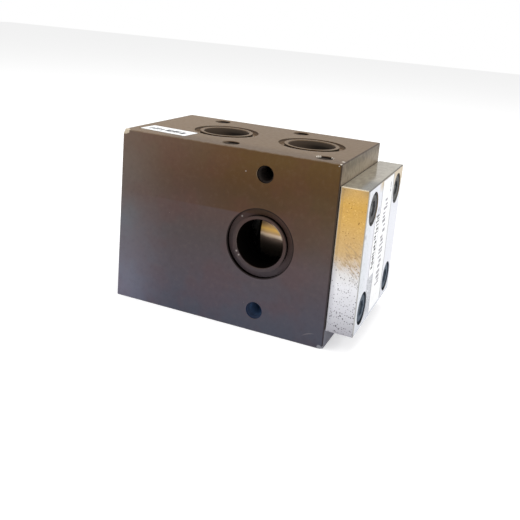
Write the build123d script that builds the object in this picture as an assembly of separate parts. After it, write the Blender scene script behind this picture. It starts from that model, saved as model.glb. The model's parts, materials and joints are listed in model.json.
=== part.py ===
from build123d import *
import math
import os

# Diverting valve with a wax element in a drilled metal block. Millimetres, +Z up, the origin under the
# middle of the whole valve. The valve's own axis runs along X at half the block's height. Places along
# it are depths: distances inside the block's cover face, negative outside it.

# Block
block_length = 130.0
block_depth = 80.0
block_height = 101.0
edge_break = 0.4

# Cavity, bored from the cover face: a main bore down to the seat's shoulder, then a narrower chamber
bore_radius = 23.0
bore_depth = 64.0
bore_lead_in = 1.0
chamber_radius = 19.0
chamber_length = 38.0

# Ports: a core drill down to the cavity, bored out at the mouth, with a face groove for a flange's seal
port_radius = 13.5
port_bore_length = 14.0
port_core_radius = 13.0
port_mouth_break = 0.4
land_width = 2.2
groove_width = 3.5
groove_depth = 2.4
cooler_port_depth = 84.0
inlet_port_depth = 30.0
bypass_port_depth = 41.0

# Flange threads beside the ports, bored to the thread's outer radius
flange_thread_radius = 4.75
flange_thread_length = 13.0
flange_thread_break = 0.3
drill_point_angle = 118.0
top_bolt_circle = 70.0
top_bolt_angle = 120.0
front_bolt_spacing = 77.0

# Worn corners of the block, as the lengths lost along its X, Y and Z edges
top_left_wear = (2.6, 2.2, 3.0)
bottom_right_wear = (2.6, 1.8, 2.4)

# Cover, as wide as the block is deep, and its joint to the block
cover_height = 79.0
cover_thickness = 15.0
gasket_thickness = 0.5
gasket_setback = 0.5
gasket_play = 0.3
spring_pocket_floor = 5.0

# Cover screws, four socket heads in counterbores
screw_spacing = 55.0
screw_radius = 5.0
screw_length = 30.0
screw_point = 1.0
screw_hole_play = 0.5
head_radius = 8.0
head_height = 10.0
head_sink = 0.5
head_break = 0.8
counterbore_play = 1.0
socket_across_flats = 8.0
socket_depth = 5.0
thread_run_out = 3.0

# Clearances, each on the radius
running_gap = 0.05
seat_gap = 0.04
thread_gap = 0.05

# Travel of the shuttle and of the overtravel plunger
stroke = 8.0
stop_gap = 0.3

# Seat ring on the shoulder, its seal and its circlip
seat_thickness = 5.0
seat_opening_radius = 13.5
seat_seal_section = 2.0
seat_seal_play = 0.3
circlip_thickness = 1.75
circlip_width = 3.6
circlip_gap_angle = 30.0
circlip_groove_play = 0.15
circlip_groove_depth = 1.2

# Sleeve that slides in the main bore
sleeve_wall = 2.5
sleeve_end_gap = 3.0
lip_thickness = 2.0
lip_height = 3.0
window_width = 25.0
window_margin = 1.0

# Spider that carries the element in the sleeve, and its snap ring
spider_thickness = 5.0
spider_rim_width = 2.4
spider_hub_width = 3.4
spider_arm_width = 4.0
spider_arm_count = 4
snap_ring_thickness = 1.6
snap_ring_width = 2.3
snap_ring_gap_angle = 24.0
snap_groove_play = 0.2
snap_groove_depth = 1.1

# Wax element
cup_radius = 8.0
cup_wall = 1.0
cup_length = 13.2
cup_flange_thickness = 1.2
element_flange_radius = 11.0
guide_flange_thickness = 3.0
guide_radius = 6.0
guide_length = 13.6
wax_under_boot = 1.0
boot_wall = 2.0
boot_end = 1.5
pin_radius = 2.5
pin_end_gap = 0.5
lock_nut_thickness = 4.5
lock_nut_across_flats = 20.0

# Stem and disc
stem_radius = 6.0
stem_socket_wall = 1.5
stem_socket_depth = 3.2
stem_socket_floor = 2.0
stem_thread_radius = 4.0
stem_thread_length = 11.0
disc_radius = 16.0
disc_thickness = 3.0
disc_seal_thickness = 1.5
disc_seal_overlap = 2.0
disc_nut_thickness = 5.0
disc_nut_across_flats = 13.0

# Return spring, between the disc and a pressed seat at the chamber's blind end
return_coil_radius = 12.0
return_wire_radius = 1.2
return_turns = 6
spring_seat_thickness = 2.0
spring_seat_hole_radius = 6.0
spring_seat_play = 0.3
pilot_height = 2.0
pilot_width = 2.0
pilot_gap = 0.4

# Overtravel housing under the cover, with its plunger and spring
housing_flange_radius = 26.0
housing_flange_thickness = 4.0
housing_bore_radius = 11.0
housing_wall = 3.0
housing_length = 18.0
housing_lip_thickness = 2.0
housing_lip_height = 4.0
plunger_flange_thickness = 2.0
plunger_nose_length = 3.5
plunger_pilot_length = 5.0
plunger_floor = 3.0
overtravel_coil_radius = 8.7
overtravel_wire_radius = 1.1
overtravel_turns = 6

# Key pin that keeps the sleeve's window under the inlet port
key_pin_radius = 1.5
key_pin_length = 19.7
key_pin_sink = 0.3
key_groove_gap = 0.1
key_groove_run_out = 1.0

# Labels: width and height, and the place of the middle
label_thickness = 0.15
label_corner_radius = 1.0
top_label_size = (31.0, 14.0)
top_label_from_corner = (21.0, 15.0)
top_label_turn = -5.5
wide_label_size = (26.0, 76.0)
wide_label_from_axis = (3.0, 0.8)
narrow_label_size = (10.4, 34.5)
narrow_label_from_axis = (-15.3, 4.2)

# Places that follow from the sizes
axis_height = block_height / 2
total_length = block_length + gasket_thickness + cover_thickness + label_thickness
block_left_x = -total_length / 2
cover_face_x = block_left_x + block_length
front_y = -block_depth / 2
cover_inner_depth = -gasket_thickness
cover_outer_depth = cover_inner_depth - cover_thickness

cover_width = block_depth

land_radius = port_radius + land_width
groove_radius = land_radius + groove_width

chamber_end_depth = bore_depth + chamber_length
seat_face_depth = bore_depth - seat_thickness
circlip_face_depth = seat_face_depth - circlip_thickness - circlip_groove_play

sleeve_radius = bore_radius - running_gap
sleeve_inner_radius = sleeve_radius - sleeve_wall
sleeve_left_depth = circlip_face_depth - stop_gap - stroke
spider_left_depth = sleeve_left_depth - lip_thickness
spider_right_depth = spider_left_depth - spider_thickness
snap_groove_end_depth = spider_right_depth - snap_ring_thickness - snap_groove_play

cup_inner_radius = cup_radius - cup_wall
cup_end_depth = spider_right_depth + cup_length
cup_floor_depth = cup_end_depth - cup_wall
flange_joint_depth = spider_right_depth - cup_flange_thickness
guide_shoulder_depth = flange_joint_depth - guide_flange_thickness
boot_radius = pin_radius + boot_wall
boot_end_depth = cup_floor_depth - wax_under_boot
pin_hole_radius = pin_radius + running_gap
pin_hole_end_depth = boot_end_depth - boot_end

disc_face_depth = bore_depth + disc_seal_thickness
disc_back_depth = disc_face_depth + disc_thickness
spring_seat_depth = chamber_end_depth - spring_seat_thickness
pilot_radius = return_coil_radius - return_wire_radius - pilot_gap

recess_floor_depth = -housing_flange_thickness
housing_lip_radius = housing_bore_radius - housing_lip_height
housing_lip_depth = housing_length - housing_lip_thickness
plunger_face_depth = housing_lip_depth - plunger_flange_thickness
plunger_back_depth = plunger_face_depth - plunger_pilot_length
pin_socket_depth = plunger_back_depth + plunger_floor
spring_pocket_depth = cover_outer_depth + spring_pocket_floor

head_top_depth = cover_outer_depth + head_sink
head_seat_depth = head_top_depth + head_height
screw_end_depth = head_seat_depth + screw_length
key_pin_end_depth = key_pin_sink + key_pin_length


def station(depth):
    """The model's X at a depth inside the block's cover face."""
    return cover_face_x - depth


def turned(*section):
    """A turned piece on the valve's axis, from the (depth, radius) corners of its half section."""
    corners = [(station(depth), radius) for depth, radius in section]
    half_section = make_face(Polyline(*corners, close=True))
    return Pos(0, 0, axis_height) * revolve(half_section, axis=Axis.X)


def ring(start, end, inner, outer):
    """A plain ring between two depths."""
    return turned((start, inner), (end, inner), (end, outer), (start, outer))


def rod(start, end, radius):
    """A plain round bar between two depths."""
    return ring(start, end, 0, radius)


def prism(start, end, outline):
    """A flat outline, drawn across the valve's axis, extruded between two depths."""
    solid = extrude(Plane.YZ * outline, end - start, dir=(1, 0, 0))
    return Pos(station(end), 0, axis_height) * solid


def open_ring(start, end, inner, outer, gap_angle):
    """A spring-steel ring with a gap at its lowest point, as a circlip has."""
    half_gap = math.radians(gap_angle / 2)
    side = 2 * outer * math.sin(half_gap)
    below = -2 * outer * math.cos(half_gap)
    gap = make_face(Polyline((0, 0), (-side, below), (side, below), close=True))
    return ring(start, end, inner, outer) - prism(start, end, gap)


def hexagon_nut(start, end, across_flats, hole_radius):
    """A hexagon nut on the valve's axis, between two depths."""
    outline = RegularPolygon(across_flats / 2, 6, major_radius=False)
    return prism(start, end, outline) - rod(start, end, hole_radius)


def coil(start, end, coil_radius, wire_radius, turns):
    """A round-wire spring between two depths, with its ends ground flat."""
    pitch = (end - start) / turns
    helix = Helix(pitch, end - start + pitch, coil_radius)
    section = Plane(origin=helix @ 0, z_dir=helix % 0) * Circle(wire_radius)
    wire = Rot(0, 90, 0) * sweep(section, path=helix, is_frenet=True)
    placed = Pos(station(end) - pitch / 2, 0, axis_height) * wire
    return placed & rod(start, end, coil_radius + 2 * wire_radius)


def hole(face, place, radius, length, mouth_break):
    """What a cutter removes at a place on a face, whose Z points out of the block: a bore and its mouth."""
    bored = Pos(0, 0, -length / 2) * Cylinder(radius, length)
    broken = Pos(0, 0, -mouth_break / 2) * Cone(radius, radius + mouth_break, mouth_break)
    return face * Pos(*place) * (bored + broken)


def tapped_hole(face, place):
    """A flange thread's hole, with the point that its drill leaves."""
    point = flange_thread_radius / math.tan(math.radians(drill_point_angle / 2))
    tip = Pos(0, 0, -flange_thread_length - point / 2) * Cone(0, flange_thread_radius, point)
    bored = hole(face, place, flange_thread_radius, flange_thread_length, flange_thread_break)
    return bored + face * Pos(*place) * tip


def port(face, core_length, bolt_places):
    """What a port removes: its core to the valve's axis, its bored mouth, seal groove and flange threads."""
    core = Pos(0, 0, -core_length / 2) * Cylinder(port_core_radius, core_length)
    groove = Cylinder(groove_radius, groove_depth) - Cylinder(land_radius, groove_depth)
    return [
        face * core,
        hole(face, (0, 0), port_radius, port_bore_length, port_mouth_break),
        face * Pos(0, 0, -groove_depth / 2) * groove,
        *(tapped_hole(face, place) for place in bolt_places),
    ]


def top_port(depth):
    """A port in the top face, with its flange threads on a circle, turned from the block's length."""
    face = Plane(origin=(station(depth), 0, block_height), x_dir=(1, 0, 0), z_dir=(0, 0, 1))
    turn = math.radians(top_bolt_angle)
    reach = (top_bolt_circle / 2 * math.cos(turn), top_bolt_circle / 2 * math.sin(turn))
    return port(face, block_height - axis_height, [reach, (-reach[0], -reach[1])])


def front_port(depth):
    """The port in the front face, with its flange threads above and below."""
    face = Plane(origin=(station(depth), front_y, axis_height), x_dir=(1, 0, 0), z_dir=(0, -1, 0))
    half = front_bolt_spacing / 2
    return port(face, block_depth / 2, [(0, half), (0, -half)])


def worn_corner(body, corner, losses, inward):
    """The body without a sliver at one corner, cut off through the three worn lengths."""
    normal = Vector(*(side / loss for side, loss in zip(inward, losses)))
    worn_edge = Vector(*corner) + Vector(inward[0] * losses[0], 0, 0)
    return body.split(Plane(origin=worn_edge, z_dir=normal), keep=Keep.TOP)


def screw_places():
    """The cover screws' centres, across and above the valve's axis."""
    half = screw_spacing / 2
    return [Pos(0, y, z) for y in (-half, half) for z in (-half, half)]


def slab(start, end, width, height):
    """A rectangular plate across the valve's axis, between two depths."""
    return prism(start, end, Rectangle(width, height))


def valve_body():
    block = Pos(0, 0, block_height / 2 - axis_height) * slab(0, block_length, block_depth, block_height)
    block = chamfer(block.edges(), edge_break)
    block = worn_corner(block, (block_left_x, front_y, block_height), top_left_wear, (1, 1, -1))
    block = worn_corner(block, (cover_face_x, front_y, 0), bottom_right_wear, (-1, 1, 1))
    cavity = turned(
        (0, 0),
        (0, bore_radius + bore_lead_in),
        (bore_lead_in, bore_radius),
        (bore_depth, bore_radius),
        (bore_depth, chamber_radius),
        (chamber_end_depth, chamber_radius),
        (chamber_end_depth, 0),
    )
    circlip_groove = ring(
        circlip_face_depth, seat_face_depth, seat_opening_radius, bore_radius + circlip_groove_depth
    )
    key_hole = Pos(0, 0, -bore_radius) * rod(0, key_pin_end_depth, key_pin_radius + seat_gap)
    thread = rod(0, screw_end_depth + thread_run_out, screw_radius + thread_gap)
    threads = [place * thread for place in screw_places()]
    ports = top_port(cooler_port_depth) + top_port(inlet_port_depth) + front_port(bypass_port_depth)
    return block - [cavity, circlip_groove, key_hole, *threads, *ports]


def cover_gasket():
    sheet = slab(
        cover_inner_depth, 0, cover_width - 2 * gasket_setback, cover_height - 2 * gasket_setback
    )
    opening = rod(cover_inner_depth, 0, housing_flange_radius + gasket_play)
    screw_hole = rod(cover_inner_depth, 0, screw_radius + screw_hole_play)
    return sheet - [opening, *(place * screw_hole for place in screw_places())]


def cover_plate():
    plate = slab(cover_outer_depth, cover_inner_depth, cover_width, cover_height)
    plate = chamfer(plate.edges(), edge_break)
    flange_recess = rod(recess_floor_depth, cover_inner_depth, housing_flange_radius + seat_gap)
    spring_pocket = rod(spring_pocket_depth, recess_floor_depth, housing_bore_radius)
    counterbore = rod(cover_outer_depth, head_seat_depth, head_radius + counterbore_play)
    screw_hole = rod(head_seat_depth, cover_inner_depth, screw_radius + screw_hole_play)
    screw_holes = [place * (counterbore + screw_hole) for place in screw_places()]
    return plate - [flange_recess, spring_pocket, *screw_holes]


def cover_screws():
    blank = turned(
        (head_top_depth, 0),
        (head_top_depth, head_radius - head_break),
        (head_top_depth + head_break, head_radius),
        (head_seat_depth, head_radius),
        (head_seat_depth, screw_radius),
        (screw_end_depth - screw_point, screw_radius),
        (screw_end_depth, screw_radius - screw_point),
        (screw_end_depth, 0),
    )
    key_flats = RegularPolygon(socket_across_flats / 2, 6, major_radius=False)
    screw = blank - prism(head_top_depth, head_top_depth + socket_depth, key_flats)
    return Compound(children=[place * screw for place in screw_places()])


def seat_ring():
    outer = bore_radius - seat_gap
    groove_floor = bore_radius - seat_seal_section
    middle = (seat_face_depth + bore_depth) / 2
    half_groove = (seat_seal_section + seat_seal_play) / 2
    return turned(
        (seat_face_depth, seat_opening_radius),
        (bore_depth, seat_opening_radius),
        (bore_depth, outer),
        (middle + half_groove, outer),
        (middle + half_groove, groove_floor),
        (middle - half_groove, groove_floor),
        (middle - half_groove, outer),
        (seat_face_depth, outer),
    )


def seat_seal():
    middle = station((seat_face_depth + bore_depth) / 2)
    section = Pos(middle, bore_radius - seat_seal_section / 2) * Circle(seat_seal_section / 2 - seat_gap)
    return Pos(0, 0, axis_height) * revolve(section, axis=Axis.X)


def seat_circlip():
    outer = bore_radius + circlip_groove_depth - seat_gap
    start = seat_face_depth - circlip_thickness
    return open_ring(start, seat_face_depth, outer - circlip_width, outer, circlip_gap_angle)


def key_pin():
    return Pos(0, 0, -bore_radius) * rod(key_pin_sink, key_pin_end_depth, key_pin_radius)


def spring_seat():
    washer = ring(
        spring_seat_depth, chamber_end_depth, spring_seat_hole_radius, chamber_radius - spring_seat_play
    )
    pilot = ring(
        spring_seat_depth - pilot_height, spring_seat_depth, pilot_radius - pilot_width, pilot_radius
    )
    return washer + pilot


def return_spring():
    return coil(
        disc_back_depth, spring_seat_depth, return_coil_radius, return_wire_radius, return_turns
    )


def overtravel_housing():
    housing_radius = housing_bore_radius + housing_wall
    return turned(
        (recess_floor_depth, housing_bore_radius),
        (recess_floor_depth, housing_flange_radius),
        (0, housing_flange_radius),
        (0, housing_radius),
        (housing_length, housing_radius),
        (housing_length, housing_lip_radius),
        (housing_lip_depth, housing_lip_radius),
        (housing_lip_depth, housing_bore_radius),
    )


def overtravel_spring():
    return coil(
        spring_pocket_depth,
        plunger_face_depth,
        overtravel_coil_radius,
        overtravel_wire_radius,
        overtravel_turns,
    )


def overtravel_plunger():
    pilot = overtravel_coil_radius - overtravel_wire_radius - pilot_gap
    flange = housing_bore_radius - running_gap
    nose = housing_lip_radius - running_gap
    nose_depth = housing_lip_depth + plunger_nose_length
    return turned(
        (plunger_back_depth, 0),
        (plunger_back_depth, pilot),
        (plunger_face_depth, pilot),
        (plunger_face_depth, flange),
        (housing_lip_depth, flange),
        (housing_lip_depth, nose),
        (nose_depth, nose),
        (nose_depth, pin_hole_radius),
        (pin_socket_depth, pin_hole_radius),
        (pin_socket_depth, 0),
    )


def element_pin():
    return rod(pin_socket_depth, pin_hole_end_depth - pin_end_gap, pin_radius)


def control_sleeve():
    lip_radius = sleeve_inner_radius - lip_height
    groove_floor = sleeve_inner_radius + snap_groove_depth
    tube = turned(
        (sleeve_left_depth, lip_radius),
        (sleeve_left_depth, sleeve_radius),
        (sleeve_end_gap, sleeve_radius),
        (sleeve_end_gap, sleeve_inner_radius),
        (snap_groove_end_depth, sleeve_inner_radius),
        (snap_groove_end_depth, groove_floor),
        (spider_right_depth, groove_floor),
        (spider_right_depth, sleeve_inner_radius),
        (spider_left_depth, sleeve_inner_radius),
        (spider_left_depth, lip_radius),
    )
    window_start = inlet_port_depth - port_radius - stroke - window_margin
    window_end = snap_groove_end_depth - window_margin
    slot = extrude(SlotOverall(window_end - window_start, window_width), 2 * sleeve_radius)
    window = Pos(station((window_start + window_end) / 2), 0, axis_height) * slot
    key_groove = Pos(0, 0, -bore_radius) * rod(
        sleeve_end_gap, key_pin_end_depth + key_groove_run_out, key_pin_radius + key_groove_gap
    )
    return tube - [window, key_groove]


def element_spider():
    rim_outer = sleeve_inner_radius - seat_gap
    rim_inner = rim_outer - spider_rim_width
    hub_inner = cup_radius + seat_gap
    hub_outer = hub_inner + spider_hub_width
    rim = ring(spider_right_depth, spider_left_depth, rim_inner, rim_outer)
    hub = ring(spider_right_depth, spider_left_depth, hub_inner, hub_outer)
    arm_start = (hub_inner + hub_outer) / 2
    arm_length = (rim_inner + rim_outer) / 2 - arm_start
    arm = Pos(0, arm_start + arm_length / 2) * Rectangle(spider_arm_width, arm_length)
    first = 180 / spider_arm_count
    arms = [
        prism(spider_right_depth, spider_left_depth, Rot(0, 0, first * (2 * i + 1)) * arm)
        for i in range(spider_arm_count)
    ]
    return rim + hub + arms


def spider_snap_ring():
    outer = sleeve_inner_radius + snap_groove_depth - seat_gap
    start = spider_right_depth - snap_ring_thickness
    return open_ring(start, spider_right_depth, outer - snap_ring_width, outer, snap_ring_gap_angle)


def element_cup():
    return turned(
        (cup_end_depth, 0),
        (cup_end_depth, cup_radius),
        (spider_right_depth, cup_radius),
        (spider_right_depth, element_flange_radius),
        (flange_joint_depth, element_flange_radius),
        (flange_joint_depth, cup_inner_radius),
        (cup_floor_depth, cup_inner_radius),
        (cup_floor_depth, 0),
    )


def wax_charge():
    outer = cup_inner_radius - seat_gap
    inner = boot_radius + seat_gap
    return turned(
        (spider_right_depth, inner),
        (boot_end_depth, inner),
        (boot_end_depth, 0),
        (cup_floor_depth, 0),
        (cup_floor_depth, outer),
        (spider_right_depth, outer),
    )


def element_boot():
    flange = cup_inner_radius - seat_gap
    return turned(
        (flange_joint_depth, pin_hole_radius),
        (flange_joint_depth, flange),
        (spider_right_depth, flange),
        (spider_right_depth, boot_radius),
        (boot_end_depth, boot_radius),
        (boot_end_depth, 0),
        (pin_hole_end_depth, 0),
        (pin_hole_end_depth, pin_hole_radius),
    )


def element_guide():
    guide_end_depth = guide_shoulder_depth - guide_length
    return turned(
        (flange_joint_depth, pin_hole_radius),
        (flange_joint_depth, element_flange_radius),
        (guide_shoulder_depth, element_flange_radius),
        (guide_shoulder_depth, guide_radius),
        (guide_end_depth, guide_radius),
        (guide_end_depth, pin_hole_radius),
    )


def element_lock_nut():
    end = spider_left_depth + lock_nut_thickness
    return hexagon_nut(spider_left_depth, end, lock_nut_across_flats, cup_radius + seat_gap)


def valve_stem():
    socket_inner = cup_radius + seat_gap
    socket_outer = socket_inner + stem_socket_wall
    socket_end_depth = cup_end_depth - stem_socket_depth
    socket_back_depth = cup_end_depth + stem_socket_floor
    thread_end_depth = bore_depth + stem_thread_length
    return turned(
        (socket_end_depth, socket_inner),
        (socket_end_depth, socket_outer),
        (socket_back_depth, socket_outer),
        (socket_back_depth, stem_radius),
        (bore_depth, stem_radius),
        (bore_depth, stem_thread_radius),
        (thread_end_depth, stem_thread_radius),
        (thread_end_depth, 0),
        (cup_end_depth, 0),
        (cup_end_depth, socket_inner),
    )


def disc_seal():
    outer = seat_opening_radius + disc_seal_overlap
    return ring(bore_depth, disc_face_depth, stem_thread_radius + seat_gap, outer)


def valve_disc():
    plate = ring(disc_face_depth, disc_back_depth, stem_thread_radius + seat_gap, disc_radius)
    pilot = ring(
        disc_back_depth, disc_back_depth + pilot_height, pilot_radius - pilot_width, pilot_radius
    )
    return plate + pilot


def disc_nut():
    end = disc_back_depth + disc_nut_thickness
    return hexagon_nut(disc_back_depth, end, disc_nut_across_flats, stem_thread_radius + seat_gap)


def label(size):
    """A label with rounded corners, lying on its own XY plane."""
    return extrude(RectangleRounded(*size, label_corner_radius), label_thickness)


def top_label():
    across, inward = top_label_from_corner
    place = Pos(block_left_x + across, front_y + inward, block_height)
    return place * Rot(0, 0, top_label_turn) * label(top_label_size)


def cover_label(size, from_axis):
    across, above = from_axis
    middle = (station(cover_outer_depth), across, axis_height + above)
    return Plane(origin=middle, x_dir=(0, 1, 0), z_dir=(1, 0, 0)) * label(size)


pieces = {
    "valve_body": valve_body(),
    "cover_gasket": cover_gasket(),
    "cover_plate": cover_plate(),
    "cover_screws": cover_screws(),
    "seat_ring": seat_ring(),
    "seat_seal": seat_seal(),
    "seat_circlip": seat_circlip(),
    "key_pin": key_pin(),
    "spring_seat": spring_seat(),
    "return_spring": return_spring(),
    "overtravel_housing": overtravel_housing(),
    "overtravel_spring": overtravel_spring(),
    "overtravel_plunger": overtravel_plunger(),
    "element_pin": element_pin(),
    "control_sleeve": control_sleeve(),
    "element_spider": element_spider(),
    "spider_snap_ring": spider_snap_ring(),
    "element_cup": element_cup(),
    "wax_charge": wax_charge(),
    "element_boot": element_boot(),
    "element_guide": element_guide(),
    "element_lock_nut": element_lock_nut(),
    "valve_stem": valve_stem(),
    "disc_seal": disc_seal(),
    "valve_disc": valve_disc(),
    "disc_nut": disc_nut(),
    "top_label": top_label(),
    "cover_label_wide": cover_label(wide_label_size, wide_label_from_axis),
    "cover_label_narrow": cover_label(narrow_label_size, narrow_label_from_axis),
}

os.makedirs("parts", exist_ok=True)
for name, piece in pieces.items():
    export_step(piece, f"parts/{name}.step")
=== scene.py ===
import json
import math
import random

import bmesh
import bpy
from mathutils import Matrix, Quaternion, Vector


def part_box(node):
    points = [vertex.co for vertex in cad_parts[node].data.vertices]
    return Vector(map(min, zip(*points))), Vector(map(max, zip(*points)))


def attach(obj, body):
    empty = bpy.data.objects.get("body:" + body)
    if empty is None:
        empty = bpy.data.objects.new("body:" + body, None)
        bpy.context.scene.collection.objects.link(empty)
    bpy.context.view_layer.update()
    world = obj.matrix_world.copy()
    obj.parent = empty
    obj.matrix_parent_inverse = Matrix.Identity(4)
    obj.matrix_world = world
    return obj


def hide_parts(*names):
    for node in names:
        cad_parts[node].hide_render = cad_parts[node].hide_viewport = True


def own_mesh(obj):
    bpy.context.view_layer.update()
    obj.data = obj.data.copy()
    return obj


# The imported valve, as the fixed frame. Lengths are in metres, unless a comment says mm.
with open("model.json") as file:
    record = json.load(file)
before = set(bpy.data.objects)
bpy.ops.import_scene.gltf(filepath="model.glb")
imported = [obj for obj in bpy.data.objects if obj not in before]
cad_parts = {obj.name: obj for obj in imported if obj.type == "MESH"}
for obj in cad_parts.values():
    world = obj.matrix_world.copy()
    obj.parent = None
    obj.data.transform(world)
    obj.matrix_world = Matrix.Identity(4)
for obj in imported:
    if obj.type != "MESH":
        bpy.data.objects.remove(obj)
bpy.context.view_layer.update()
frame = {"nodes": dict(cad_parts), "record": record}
mm = 0.001


def corners_of(node):
    """A node's low and high corners."""
    low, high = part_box(node)
    return Vector(low), Vector(high)


# Camera of the photograph, in the valve's frame: where it stands and how it is turned
photo_size = 520
focal_pixels = 681.0
principal_point = (258.4, 163.9)
sensor_width = 36.0
camera_place = Vector((145.3, -363.5, 170.5)) * mm
camera_azimuth = math.radians(22.42)
camera_elevation = math.radians(12.32)
camera_roll = math.radians(4.76)

# The floor, and how brightly it and the world show and light the valve
floor_size = 6.0
floor_shade = (0.8, 0.8, 0.8, 1.0)
floor_lift = 0.45
world_light = 0.54

# Places on the valve, read from its own nodes
block_low, block_high = corners_of("valve_body")
cover_low, cover_high = corners_of("cover_plate")
label_low, label_high = corners_of("top_label")
axis_z = (block_low.z + block_high.z) / 2
mounts = {mount["name"]: mount for mount in frame["record"]["mounts"]}
front_port = Vector(mounts["bypass_port"]["pos_m"])

# How strongly the block's skin mirrors its surroundings
block_gloss = 0.12

# The line that divides the block's painted reflections: warm above it, blue-grey below it
reflection_split_height = 65.7 * mm
reflection_split_slope = 0.014

# Radii at each port: its bore, the land round that, and the face groove round the land
port_radius = 13.6 * mm
land_radius = 15.7 * mm
groove_radius = 19.2 * mm

# The label stuck on the block's top
top_label_size = (31 * mm, 14 * mm)
top_label_turn = math.radians(-5.5)

# Heads of the cover's screws
screw_head_radius = 8 * mm

# Flange threads, 3/8 inch coarse: a ridge whose root lies a little inside the wall
thread_pitch = 1.5875 * mm
thread_crest_radius = 4.0 * mm
thread_length = 12.0 * mm
thread_mouth_gap = 0.6 * mm
thread_root_share = 0.44
thread_sinks_in = 0.02 * mm
thread_steps_per_turn = 28
top_bolt_angle = math.radians(120)

# Springs, and how close corners are when they count as one
coil_steps_per_turn = 32
wire_sides = 14
same_corner = 1e-7

# Printed bars on the labels: lengths, heights and gaps, as shares of a row's height, and their thickness
bar_lengths = (0.11, 0.15, 0.21)
bar_heights = (0.6, 0.8, 1.0)
bar_gaps = (0.09, 0.12, 0.2)
bar_thickness = 0.03 * mm

# Dings round the block's upper front corner at the cover, and painted glints on the rim and walls of the top bolt
# hole beside it: offset from that corner and radius, in mm
dings_and_glints = (
    ((-0.7, 0.4, 0), 0.7), ((-1.5, 6.8, 0), 1.2), ((-1.6, 0, -1.1), 0.35), ((-17.1, 10.7, -0.1), 0.9),
    ((-16.6, 11.9, -0.3), 0.9), ((-15.9, 12.9, -0.4), 0.8), ((-9.8, 13.5, -0.3), 0.7), ((-8.7, 12.4, -0.3), 0.7),
)

# Painted glints on the front: place along the block, how far in, height, and radius, in mm
glints = ((5.0, 0, 89.1, 0.5), (3.9, 2.4, 63.4, 0.8), (3.1, 0.3, 44.0, 0.8), (4.6, 0.3, 42.0, 0.8))


def rgb(red, green, blue):
    """A colour as it looks on a screen, 0 to 255 each, turned into the linear values that shaders take."""
    def linear(value):
        share = value / 255
        return share / 12.92 if share <= 0.04045 else ((share + 0.055) / 1.055) ** 2.4
    return (linear(red), linear(green), linear(blue), 1.0)


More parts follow.
